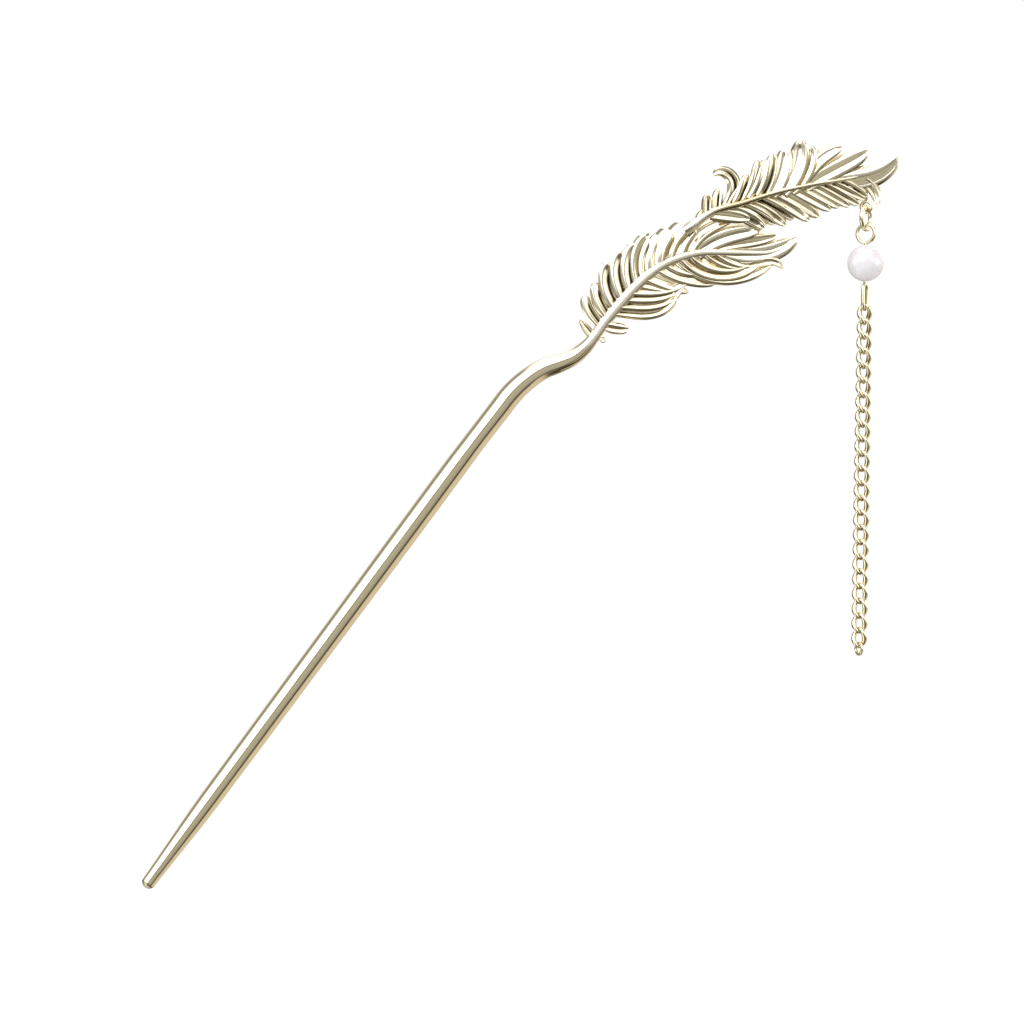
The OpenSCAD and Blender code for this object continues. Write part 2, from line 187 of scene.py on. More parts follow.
# %% [markdown]
# ## The room
# Polished metal shows the room it stands in, so the room is drawn first. Across the shaft the
# photograph shows, from its upper left edge: a grey line, a white band, a khaki half, a dark line and
# a warm edge. Turned back into directions, that is a large white panel in front at the upper left,
# a dull front, a thin dark flag at the lower right and a warm, bright wall behind it. The background
# that the camera sees is plain white.

# %% Draw the room
PANEL_SIDE = (-0.814, 0.0, 0.581)
ROOM_FRONT = (0.0, -1.0, 0.0)
SHAFT_WAY = (0.581, 0.0, 0.814)
ROOM_STRENGTH = 2.4
END_COVER = 0.8
BRIGHT_END, DARK_END = (0.8, 0.79, 0.75), (0.03, 0.025, 0.015)
world = bpy.data.worlds.new("room")
bpy.context.scene.world = world
world.use_nodes = True
room = Paint(world.node_tree)


def dot(paint, vector, fixed):
    """The dot product of a varying vector with a fixed one."""
    return paint.node("ShaderNodeVectorMath", {"operation": "DOT_PRODUCT"}, {0: vector, 1: fixed}, "Value")


look = room.node("ShaderNodeTexCoord", output="Generated")
side, front, up_shaft = (dot(room, look, axis) for axis in (PANEL_SIDE, ROOM_FRONT, SHAFT_WAY))
around = side.math("ARCTAN2", side, front) / (2 * math.pi) + 0.5
walls = room.node(
    "ShaderNodeValToRGB",
    {
        "stops": [
            (0.00, (0.258, 0.217, 0.15)),
            (0.22, (0.34, 0.295, 0.225)),
            (0.30, (0.29, 0.26, 0.2)),
            (0.325, (0.013, 0.01, 0.006)),
            (0.345, (0.025, 0.021, 0.015)),
            (0.38, (0.18, 0.172, 0.138)),
            (0.50, (0.235, 0.225, 0.187)),
            (0.508, (0.02, 0.016, 0.01)),
            (0.521, (0.03, 0.025, 0.018)),
            (0.534, (0.958, 0.958, 0.938)),
            (0.69, (0.958, 0.958, 0.938)),
            (0.72, (0.208, 0.204, 0.175)),
            (0.80, (0.117, 0.113, 0.092)),
            (0.90, (0.333, 0.317, 0.275)),
            (1.00, (0.258, 0.217, 0.15)),
        ]
    },
    {0: around},
)
bright_end = up_shaft.between(0.34, 0.44) * (1 - up_shaft.between(0.82, 0.9))
dark_end = (0 - up_shaft).between(0.25, 0.4) * (1 - (0 - up_shaft).between(0.75, 0.85))
shade = room.mix(bright_end * END_COVER, walls, BRIGHT_END)
shade = room.mix(dark_end * END_COVER, shade, DARK_END)
seen = room.node("ShaderNodeLightPath", output="Is Camera Ray")
mirrored = room.node("ShaderNodeBackground", {}, {"Color": shade, "Strength": ROOM_STRENGTH})
plain = room.node("ShaderNodeBackground", {}, {"Color": (1, 1, 1, 1), "Strength": 1.0})
both = room.node("ShaderNodeMixShader", {}, {0: seen, 1: mirrored, 2: plain})
room.show(both, "ShaderNodeOutputWorld")
bpy.context.scene.view_settings.view_transform = "Standard"
print("room drawn with", len(room.tree.nodes), "nodes")

# %% [markdown]
# ## From numbers to meshes
# Every piece is a set of rings of points, one after the other, each ring closed. One function joins
# the rings with faces and closes both ends with a point in the middle; a second puts several such
# shells into one mesh. The signed volume tells whether a shell is inside out. Edges sharper than
# SHARP_ANGLE degrees stay crisp, and everything else is shaded smooth.

# %% Rings to shells
SHARP_ANGLE = 38


def skin(rings, hollow=None, closed=False):
    """Joins rings (n, m, 3) into a closed shell; a closed path joins its last ring to its first."""
    n, m, _ = rings.shape
    i, j = np.meshgrid(np.arange(n if closed else n - 1), np.arange(m), indexing="ij")
    a, b = i * m + j, i * m + (j + 1) % m
    c, d = (i + 1) % n * m + (j + 1) % m, (i + 1) % n * m + j
    faces = np.concatenate([np.stack([a, b, c], -1).reshape(-1, 3), np.stack([a, c, d], -1).reshape(-1, 3)])
    points = rings.reshape(-1, 3)
    dark = np.zeros(len(points)) if hollow is None else hollow.reshape(-1)
    if not closed:
        k = np.arange(m)
        low = np.stack([np.full(m, n * m), (k + 1) % m, k], -1)
        high = np.stack([np.full(m, n * m + 1), (n - 1) * m + k, (n - 1) * m + (k + 1) % m], -1)
        faces = np.concatenate([faces, low, high])
        points = np.concatenate([points, rings[[0, -1]].mean(axis=1)])
        dark = np.concatenate([dark, [dark[:m].mean(), dark[-m:].mean()]])
    p, q, r = (points[faces[:, k]] for k in range(3))
    if np.einsum("ij,ij->", p, np.cross(q, r)) < 0:
        faces = faces[:, ::-1]
    return points, faces, dark


def put(name, shells, material, body, replaced):
    """Puts shells into one mesh, no point of it outside the solids' box, and lets it ride on a body."""
    counts = np.cumsum([0] + [len(points) for points, _, _ in shells])
    points = np.concatenate([shell[0] for shell in shells])
    faces = np.concatenate([shell[1] + start for shell, start in zip(shells, counts)])
    dark = np.concatenate([shell[2] for shell in shells])
    points = np.clip(points, *solid_box)
    mesh = bpy.data.meshes.new(name)
    mesh.from_pydata(points.tolist(), [], faces.tolist())
    mesh.attributes.new("hollow", "FLOAT", "POINT").data.foreach_set("value", dark.astype(np.float32))
    mesh.polygons.foreach_set("use_smooth", np.ones(len(faces), dtype=bool))
    mesh.set_sharp_from_angle(angle=math.radians(SHARP_ANGLE))
    mesh.materials.append(material)
    mesh.validate()
    piece = bpy.data.objects.new(name, mesh)
    bpy.context.collection.objects.link(piece)
    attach(piece, body)
    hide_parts(*replaced)
    print(name, len(shells), "shells,", len(faces), "triangles")
    return piece


# %% [markdown]
# ## Finishes
# The casting has a pale champagne-gold plate. It is polished on the crests, and its hollows are darker,
# brown and dull: partly brown patina, partly painted shade. How hollow a place is was worked out with
# its shape and comes in as an attribute, so the darkening follows the relief; the same attribute also
# carries painted shade along the barbs' edges, near their roots and on the inner side of closed wires.
# Below zero it says how much a place was brushed, as the lower quill and the broad leaves are. A slight
# unevenness of the polish comes from noise on the object's own coordinates.

# %% Plate and wire
CLOUD_SCALE, CLOUD_SHIFT, GRAIN_SCALE = 420.0, 0.25, 2600.0
BRUSHED_COLOUR, BRUSHED_COVER, BRUSHED_ROUGH = (0.83, 0.81, 0.75), 0.7, 0.2
RIPPLE_DEPTH = 0.00006


def plated(name, crest, middle, floor, rough, rough_floor, ripple):
    """A plated metal: colour and roughness run from crest to hollow, the hollows darker with brown patina and
    painted shade, with a fine ripple in the polish.
    """
    material = bpy.data.materials.new(name)
    material.use_nodes = True
    paint = Paint(material.node_tree)
    place = paint.node("ShaderNodeTexCoord", output="Object")
    hollow = paint.node("ShaderNodeAttribute", {"attribute_name": "hollow"}, {}, "Fac")
    cloud = paint.node("ShaderNodeTexNoise", {}, {"Vector": place, "Scale": CLOUD_SCALE, "Detail": 3.0})
    grain = paint.node("ShaderNodeTexNoise", {}, {"Vector": place, "Scale": GRAIN_SCALE, "Detail": 2.0})
    # Brown patina and painted shade: the colour runs from crest to middle to floor as the hollow attribute
    # rises.
    deep = (hollow + (cloud - 0.5) * CLOUD_SHIFT).between(0.4, 0.82)
    brushed = (0 - hollow).between(0, 1)
    colour = paint.mix(hollow.between(0.1, 0.6), crest, middle)
    colour = paint.mix(deep, colour, floor)
    colour = paint.mix(brushed * BRUSHED_COVER, colour, BRUSHED_COLOUR)
    relief = cloud * 0.8 + grain * 0.06
    bump = paint.node("ShaderNodeBump", {}, {"Strength": ripple, "Distance": RIPPLE_DEPTH, "Height": relief})
    roughness = rough + deep * (rough_floor - rough) + brushed * BRUSHED_ROUGH + (cloud - 0.5) * 0.05
    shader = paint.node(
        "ShaderNodeBsdfPrincipled",
        {},
        {"Base Color": colour, "Metallic": 1.0, "Roughness": roughness, "Normal": bump},
    )
    paint.show(shader)
    return material


plate = plated(
    "champagne_plate",
    crest=(0.85, 0.785, 0.625),
    middle=(0.58, 0.49, 0.31),
    floor=(0.022, 0.015, 0.007),
    rough=0.15,
    rough_floor=0.42,
    ripple=0.1,
)
# On the wire the middle and floor colours only show the painted shade on the inner side of closed wires.
wire_plate = plated(
    "wire_plate",
    crest=(0.8, 0.74, 0.57),
    middle=(0.65, 0.55, 0.34),
    floor=(0.42, 0.3, 0.1),
    rough=0.12,
    rough_floor=0.3,
    ripple=0.06,
)
print("two plates, the casting's with", len(plate.node_tree.nodes), "nodes")

# %% [markdown]
# The pearl is a bead with a nacre coat: white with a breath of pink and grey, a soft body under a
# clear gloss. The rough body gives each highlight its halo, and the coat gives its bright middle.

# %% Nacre
PINK_NACRE, GREY_NACRE, LUSTRE_SCALE = (0.585, 0.555, 0.61), (0.61, 0.59, 0.64), 260.0
nacre = bpy.data.materials.new("nacre")
nacre.use_nodes = True
nacre_paint = Paint(nacre.node_tree)
spot = nacre_paint.node("ShaderNodeTexCoord", output="Object")
lustre = nacre_paint.node("ShaderNodeTexNoise", {}, {"Vector": spot, "Scale": LUSTRE_SCALE, "Detail": 2.0})
bead_colour = nacre_paint.mix(lustre.between(0.35, 0.65), PINK_NACRE, GREY_NACRE)
bead_shader = nacre_paint.node(
    "ShaderNodeBsdfPrincipled",
    {},
    {
        "Base Color": bead_colour,
        "Roughness": 0.28 + lustre * 0.06,
        "Coat Weight": 0.3,
        "Coat Roughness": 0.16,
    },
)
nacre_paint.show(bead_shader)
print("nacre with", len(nacre_paint.tree.nodes), "nodes")

# %% [markdown]
# ## The sizes of the stick
# These are the sizes that the solids were built from, in millimetres and degrees. A feather is a root,
# a lean, a length, the rows of its quill and the depth of its root and tip. Rows run towards the
# feathers: place along (and across) as shares of the length, then the width (and the neck's depth) as
# shares of the full one.

# %% Sizes
POINT_LEN, UPPER_LEN, SHAFT_W, SHAFT_D, SHAFT_LEAN = 50, 35.5, 3.85, 3.4, 54.5
NECK_LEN, NECK_LEAN = 33, 44.5
LOW_LEN, LOW_LEAN, LOW_QUILL, LOW_ARCH, QUILL_FLAT = 37.5, 26.5, 1.9, 0.8, 0.9
TOP_LEN, TOP_LEAN, TOP_QUILL, TOP_FRONT, TOP_ARCH = 37.2, 19.2, 1.5, 0.7, 1.1
CREST_H, GROOVE_H, BACK_H = 0.45, 0.2, 0.4
TOP_ROOT_SHARE, PIVOT_SHARE, STUB_SHARE = (0.564, 0.253), (0.813, -0.151), (0.838, -0.064)
SCROLL_SHARE = (0.03, -0.026)
LOOP_BACK = 0.8

TAPER = np.array(
    [
        [0.03, 0.62],
        [0.1, 0.735],
        [0.18, 0.865],
        [0.26, 0.9],
        [0.42, 0.93],
        [0.6, 0.955],
        [0.8, 0.99],
    ]
)
NECK_ROWS = np.array(
    [
        [0, 0, 1, 1],
        [0.2, 0.034, 0.97, 1],
        [0.4, 0.065, 0.98, 0.98],
        [0.5, 0.08, 0.98, 0.95],
        [0.6, 0.08, 0.94, 0.92],
        [0.7, 0.062, 0.88, 0.86],
        [0.78, 0.028, 0.82, 0.8],
        [0.85, 0.001, 0.71, 0.74],
        [0.925, -0.007, 0.62, 0.66],
    ]
)
LOW_QUILL_ROWS = np.array(
    [
        [0, 0, 1],
        [0.067, 0.037, 0.86],
        [0.168, 0.084, 0.8],
        [0.289, 0.131, 0.7],
        [0.402, 0.157, 0.6],
        [0.498, 0.155, 0.56],
        [0.587, 0.136, 0.48],
        [0.668, 0.1, 0.4],
        [0.748, 0.06, 0.34],
        [0.868, 0.004, 0.28],
        [0.97, -0.004, 0.2],
    ]
)
TOP_QUILL_ROWS = np.array(
    [
        [0, 0, 0.9],
        [0.041, 0.01, 1],
        [0.083, 0.024, 0.8],
        [0.135, 0.038, 0.66],
        [0.184, 0.043, 0.6],
        [0.276, 0.036, 0.54],
        [0.37, 0.036, 0.46],
        [0.463, 0.033, 0.42],
        [0.555, 0.024, 0.38],
        [0.646, 0.013, 0.34],
        [0.725, -0.001, 0.3],
        [0.86, -0.014, 0.24],
        [0.95, 0.01, 0.2],
    ]
)

# %% [markdown]
# ## The barbs' table
# One row for each barb: place of its root along the feather, direction at root, middle and tip, length
# and half width as shares of the feather's length, bluntness of the tip, width at the root, how far
# the tip rises to the front, and the slope across, of which only the side is used here. In the
# photograph the lower feather's upper vane is closed along its edge, so those barbs end broader than
# in the solids. The small barb beside the jump ring is wider than there, too.

# %% Barbs
ALONG, START, MIDDLE, END, LENGTH, HALF_W, BLUNT, NARROW, RISE, SLOPE = range(10)
LOW_BARBS = np.array(
    [
        [0.00, 105, 103, 98, 0.100, 0.019, 2, 0.6, 0.2, 0.2],
        [0.055, 110, 95, 66, 0.155, 0.027, 3, 0.85, 0.1, 0.3],
        [0.105, 105, 87, 60, 0.164, 0.030, 6, 0.85, 0, 0.3],
        [0.155, 103, 76, 38, 0.208, 0.034, 6, 0.85, 0.2, 0.3],
        [0.205, 97, 69, 33, 0.215, 0.034, 6, 0.85, 0, 0.3],
        [0.250, 92, 61, 27, 0.213, 0.034, 6, 0.85, -0.1, 0.3],
        [0.290, 86, 56, 25, 0.220, 0.034, 6, 0.85, 0.1, 0.3],
        [0.335, 82, 55, 27, 0.200, 0.032, 6, 0.85, -0.1, 0.3],
        [0.385, 77, 46, 17, 0.190, 0.036, 6, 0.85, 0.5, 0.3],
        [0.430, 70, 38, 8, 0.205, 0.036, 6, 0.85, 0.6, 0.3],
        [0.480, 62, 36, 12, 0.175, 0.034, 6, 0.85, 0.5, 0.3],
        [0.525, 58, 34, 10, 0.115, 0.028, 3, 0.9, 0.1, 0.2],
        [0.530, 58, 8, -14, 0.290, 0.033, 3, 0.85, 0.5, 0.3],
        [0.570, 24, -8, -18, 0.315, 0.040, 6, 0.8, 0.3, 0.3],
        [0.600, 4, -17, -8, 0.335, 0.031, 6, 0.8, 0.1, 0.2],
        [0.695, -38, -15, 16, 0.332, 0.043, 4, 0.6, 0.2, -0.1],
        [0.06, -45, -35, -25, 0.115, 0.024, 6, 0.7, 0.5, 0.3],
        [0.125, -28, -20, 48, 0.315, 0.021, 5, 0.8, 0.4, -0.4],
        [0.165, -28, -18, 35, 0.300, 0.023, 4, 0.9, 0.2, -0.3],
        [0.205, -28, -18, 20, 0.275, 0.026, 3, 0.9, 0, -0.3],
        [0.245, -28, -20, 2, 0.245, 0.026, 3, 0.9, 0, -0.3],
        [0.285, -38, -34, -26, 0.215, 0.026, 3, 0.9, -0.1, -0.3],
        [0.330, -48, -46, -42, 0.195, 0.026, 3, 0.9, -0.1, -0.3],
        [0.395, -58, -40, -27, 0.265, 0.025, 5, 0.9, -0.2, -0.3],
        [0.440, -60, -36, -20, 0.200, 0.024, 4, 0.9, -0.1, -0.3],
        [0.485, -72, -29, 10, 0.455, 0.023, 4, 0.9, 0.5, -0.3],
        [0.515, -76, -30, 8, 0.370, 0.030, 3, 0.9, 0.3, -0.2],
        [0.560, -70, -35, -8, 0.260, 0.027, 3, 0.9, 0.1, -0.3],
        [0.620, -65, -46, -25, 0.190, 0.024, 3, 0.9, 0, -0.3],
        [0.665, -60, -45, -20, 0.180, 0.026, 3, 0.9, 0, -0.3],
        [0.720, -132, -10, -100, 0.275, 0.021, 6, 0.7, 0.6, 0.3],
    ]
)
TOP_BARBS = np.array(
    [
        [0.135, -20, -26, -34, 0.180, 0.033, 4, 0.8, 0.2, 0.2],
        [0.20, -30, -44, -58, 0.205, 0.031, 6, 0.8, 0.3, 0.3],
        [0.27, -38, -46, -56, 0.185, 0.026, 6, 0.85, 0.1, 0.4],
        [0.31, -40, -50, -60, 0.203, 0.026, 6, 0.85, 0.3, 0.4],
        [0.36, -42, -48, -55, 0.185, 0.026, 6, 0.85, 0.1, 0.4],
        [0.41, -42, -50, -62, 0.215, 0.030, 6, 0.85, 0.4, 0.4],
        [0.46, -42, -50, -60, 0.210, 0.031, 6, 0.85, 0.1, 0.4],
        [0.52, -42, -47, -52, 0.195, 0.028, 6, 0.85, 0.2, 0.4],
        [0.57, -45, -48, -52, 0.185, 0.025, 6, 0.85, 0, 0.4],
        [0.61, -45, -48, -52, 0.193, 0.023, 6, 0.85, 0.1, 0.4],
        [0.65, -45, -48, -50, 0.197, 0.022, 6, 0.85, 0, 0.4],
        [0.69, -42, -45, -48, 0.170, 0.021, 6, 0.85, 0, 0.4],
        [0.73, -40, -48, -55, 0.145, 0.021, 6, 0.85, 0, 0.4],
        [0.07, 44, 48, 50, 0.060, 0.018, 3, 0.8, 0, 0.2],
        [0.12, 74, 71, 66, 0.092, 0.023, 7, 0.8, 0.3, 0.2],
        [0.165, 68, 66, 60, 0.100, 0.023, 5, 0.8, 0, 0.2],
        [0.205, 32, 84, 212, 0.243, 0.028, 5, 0.7, 0.8, 0.1],
        [0.225, 34, 44, 54, 0.115, 0.020, 3, 0.8, 0.1, 0.2],
        [0.26, 42, 52, 70, 0.145, 0.027, 7, 0.95, 0.25, 0.2],
        [0.297, 36, 54, 78, 0.200, 0.026, 7, 0.8, 0.5, 0.2],
        [0.33, 34, 53, 75, 0.197, 0.031, 7, 0.85, 0.1, 0.2],
        [0.37, 37, 56, 78, 0.205, 0.030, 7, 0.85, 0.3, 0.2],
        [0.42, 37, 55, 75, 0.217, 0.037, 7, 0.85, 0, 0.2],
        [0.47, 28, 52, 83, 0.250, 0.040, 7, 0.85, 0.6, 0.2],
        [0.51, 22, 48, 84, 0.225, 0.036, 7, 0.85, 0.2, 0.2],
        [0.55, 46, 27, -5, 0.270, 0.032, 7, 0.8, 0.5, 0.2],
        [0.58, 19, 9, 14, 0.320, 0.040, 7, 0.8, 0.4, 0.2],
        [0.65, 0, 4, 8, 0.205, 0.023, 3, 0.8, 0, 0.1],
        [0.72, -18, -2, 44, 0.303, 0.046, 3, 0.7, 0.6, 0],
        [0.81, -45, -66, -125, 0.165, 0.025, 5, 0.8, 0.3, 0.3],
    ]
)
CLOSED_VANE, CLOSED_BLUNT = slice(1, 11), 13
LOW_BARBS[CLOSED_VANE, BLUNT] = CLOSED_BLUNT
print(len(LOW_BARBS), "barbs on the lower feather and", len(TOP_BARBS), "on the upper")

# %% [markdown]
# ## Where things lie on a feather
# A feather's own coordinates are shares of its length, along it and across it. The quill's line bends,
# and a barb starts on that line.

# %% Places


def way(degrees, length):
    """A step of a given length in a given direction of the picture plane."""
    a = np.radians(degrees)
    return np.stack([np.cos(a) * length, np.sin(a) * length], axis=-1)


def on_feather(feather, share):
    """The root plus the share, scaled by the feather's length and turned by its lean."""
    return feather["root"] + turned(np.asarray(share, dtype=float) * feather["length"], feather["lean"])


neck_start = way(SHAFT_LEAN, UPPER_LEN)
lower = {
    "root": neck_start + way(NECK_LEAN, NECK_LEN),
    "lean": LOW_LEAN,
    "length": LOW_LEN,
    "quill": LOW_QUILL_ROWS,
    "depth": (0, LOW_ARCH),
}
upper = {
    "root": on_feather(lower, TOP_ROOT_SHARE),
    "lean": TOP_LEAN,
    "length": TOP_LEN,
    "quill": TOP_QUILL_ROWS,
    "depth": (-TOP_FRONT, TOP_ARCH - TOP_FRONT),
}
pivot_plane = on_feather(upper, PIVOT_SHARE)
pivot = np.array([pivot_plane[0], LOOP_BACK, pivot_plane[1]])

# %% [markdown]
# ## Shaft, neck and quills
# The shaft, its neck and the lower quill are one smooth run of metal. Its sizes are known at a few
# places; a curve through them (each stretch a cubic that leans on its neighbours) gives the places
# between. The section is oval. A fine sunk line runs along the lower side of the neck's end and of both
# quills; its dark inside is painted shade with brown patina. The quills lie further to the front and
# are wider than in the solids, so that they run over the barbs as in the photograph.

# %% A smooth run
LINE_AT, LINE_WIDTH, LINE_SUNK, LINE_DARK = 222, 0.13, 0.16, 0.9


def bell(x, middle, width):
    """A bell curve, e to the minus ((x - middle) / width) squared: 1 at its middle."""
    return np.exp(-(((x - middle) / width) ** 2))


def climb(x, start, length):
    """0 up to the start, then straight up to 1 over the length, and 1 from there on."""
    return np.clip((x - start) / length, 0, 1)


def between_rows(rows, steps):
    """Rows carried on by a cubic through each four neighbours, with so many steps to a stretch."""
    padded = np.concatenate([rows[:1], rows, rows[-1:]])
    t = (np.arange(steps) / steps)[None, :, None]
    a, b, c, d = (padded[k : len(rows) - 1 + k, None, :] for k in range(4))
    curve = b + t / 2 * (c - a) + t**2 / 2 * (2 * a - 5 * b + 4 * c - d) + t**3 / 2 * (3 * b - a - 3 * c + d)
    return np.concatenate([curve.reshape(-1, rows.shape[1]), rows[-1:]])


def run(rows, sides, steps, line, brush):
    """A body through rows of x, z, y, half width and half depth: each ring is an ellipse across the run.

    From the run's start (0) to its end (1), line says how strong the fine dark line of painted shade and
    brown patina is, and brush how much the metal was brushed.
    """
    rows = between_rows(rows, steps)
    ahead = np.gradient(rows[:, :2], axis=0)
    ahead /= np.linalg.norm(ahead, axis=1, keepdims=True)
    across = np.stack([-ahead[:, 1], ahead[:, 0]], axis=-1)
    a = np.linspace(0, 2 * np.pi, sides, endpoint=False)
    u = np.linspace(0, 1, len(rows))[:, None]
    cut = bell(a, np.radians(LINE_AT), LINE_WIDTH)[None, :] * line(u)
    swell = 1 - LINE_SUNK * cut
    # Painted shade with brown patina: the sunk line is dark inside.
    hollow = cut * LINE_DARK - brush(u) * (1 - cut)
    plane = rows[:, None, :2] + across[:, None, :] * (rows[:, 3, None] * np.cos(a) * swell)[..., None]
    depth = rows[:, 2, None] + rows[:, 4, None] * np.sin(a) * swell
    points = np.stack([plane[..., 0], depth, plane[..., 1]], axis=-1) * MM
    return skin(points, hollow)


tip_half = SHAFT_W * TAPER[0, 1] / 2
shaft_len = POINT_LEN + UPPER_LEN
nose = np.radians([8, 30, 55, 75])
shaft_along = np.concatenate([tip_half * (1 - np.cos(nose)), TAPER[:, 0] * shaft_len])
shaft_half = np.concatenate([tip_half * np.sin(nose), TAPER[:, 1] * SHAFT_W / 2])
flat = SHAFT_D / SHAFT_W
shaft_rows = np.column_stack(
    [way(SHAFT_LEAN, shaft_along - POINT_LEN), 0 * shaft_half, shaft_half, shaft_half * flat]
)
neck_rows = np.column_stack(
    [
        neck_start + turned(NECK_ROWS[:, :2] * NECK_LEN, NECK_LEAN),
        0 * NECK_ROWS[:, 0],
        NECK_ROWS[:, 2] * SHAFT_W / 2,
        NECK_ROWS[:, 3] * SHAFT_D / 2,
    ]
)


def quill_rows(feather, width, flatness):
    """The quill's rows: places on the feather, depth from root to tip, and half width and depth."""
    rows = feather["quill"]
    depth = np.interp(rows[:, 0], (0, 1), feather["depth"])
    half = rows[:, 2] * width / 2
    return np.column_stack([on_feather(feather, rows[:, :2]), depth, half, half * flatness])


LOW_LIFT = ((0.05, 0.45, 0.9, 1), (0, 0.35, 0.45, 0.2))
LOW_WIDEN = ((0, 0.15, 1), (1, 1.3, 1.45))
TOP_LIFT, TOP_LIFT_END, TOP_WIDEN, TOP_DEEPEN = 0.6, 0.9, 1.2, 1.5
TOP_BRUSH = ((0, 0.2, 0.38, 0.5, 0.65, 1), (0.9, 0.7, -0.45, -0.4, 0.1, 0.3))
LINE_FROM, BRUSH_FROM, FULL_WITHIN = 0.5, 0.62, 0.07
TOP_LINE_FULL_AT, TOP_LINE_FADE = 0.1, 0.4


def late(start):
    """A strength along the run: nothing before the start, and full soon after it."""
    return lambda u: climb(u, start, FULL_WITHIN)


def top_line(u):
    """The dark line of the upper quill: full soon after the root and fading towards the tip."""
    return climb(u, 0, TOP_LINE_FULL_AT) * climb(1 - u, 0, TOP_LINE_FADE)


def top_brush(u):
    """Brushed at the root, golden (below zero) before the middle, a little brushed again at the tip."""
    return np.interp(u, *TOP_BRUSH)


low_quill_rows = quill_rows(lower, LOW_QUILL, QUILL_FLAT)
low_quill_rows[:, 2] -= np.interp(LOW_QUILL_ROWS[:, 0], *LOW_LIFT)
low_quill_rows[:, 3] *= np.interp(LOW_QUILL_ROWS[:, 0], *LOW_WIDEN)
stem_rows = np.concatenate([shaft_rows, neck_rows, low_quill_rows])
stem = run(stem_rows, 48, 8, late(LINE_FROM), late(BRUSH_FROM))
top_quill_rows = quill_rows(upper, TOP_QUILL, 1)
top_quill_rows[:, 2] -= TOP_LIFT * np.sin(np.pi * climb(TOP_QUILL_ROWS[:, 0], 0, TOP_LIFT_END)) ** 0.5
top_quill_rows[:, 3:] *= (TOP_WIDEN, TOP_DEEPEN)
top_stem = run(top_quill_rows, 32, 6, top_line, top_brush)
print("the stem has", len(stem[1]), "triangles and the upper quill", len(top_stem[1]))

# %% [markdown]
# ## One barb
# A barb leaves the quill in one direction and bends to another: its heading is a parabola through the
# directions at root, middle and tip, and adding up small steps along it gives the middle line. Across
# the line it has a broad rounded rim on its raised side, a groove with fine lines in it, a low rim on
# the other side and a full back. It is narrow at the root, full from about half its length, and blunt
# or sharp at the tip, which is slightly rolled. Brown patina and painted shade lie in the groove and
# fade towards the tip; painted shade also darkens both edges, the lowered edge and the part near the
# root. The broad leaves are brushed where little of that darkening lies. Places across run from -1 to
# 1, places along and the brown patina and painted shade from 0 to 1, and heights are in millimetres.

# %% Barb shells
BARB_STEPS, CROWDING, FRONT_POINTS, BACK_POINTS = 38, 1.5, 27, 6
FULL_AT, TIP_SHARE, WIDER = 0.45, 0.015, 1.12
BROAD_FROM, BROAD_SPAN = 0.03, 0.01
RIM_AT, RIM_WIDTH = 0.48, 0.34
LOW_RIM_AT, LOW_RIM_WIDTH, LOW_RIM_SHARE = -0.66, 0.18, 0.5
LINES, LINES_AT, LINES_WIDTH, LINES_H, BROAD_LINES_H = 3.0, -0.12, 0.34, 0.035, 0.03
THIN_SHARE = 0.5
TIP_ROLL, TIP_ROLL_AT, TIP_ROLL_LENGTH, NARROW_ROLL = 0.1, 0.93, 0.055, 0.3
GROOVE_AT, GROOVE_WIDTH, GROOVE_DARK, BROAD_PALER = -0.14, 0.25, 0.85, 0.35
LINES_DARK, BROAD_LINES_DARK, BROAD_BRUSH, BACK_DARK = 0.25, 0.42, 0.7, 0.25
EDGE_FROM, EDGE_SPAN, EDGE_SHADE = 0.82, 0.13, 0.5
LOW_EDGE_FROM, LOW_EDGE_SPAN = 0.78, 0.14
ROOT_SPAN, ROOT_SHADE = 0.22, 0.5
FADE_FROM, FADE_SPAN, FADE = 0.66, 0.22, 0.6


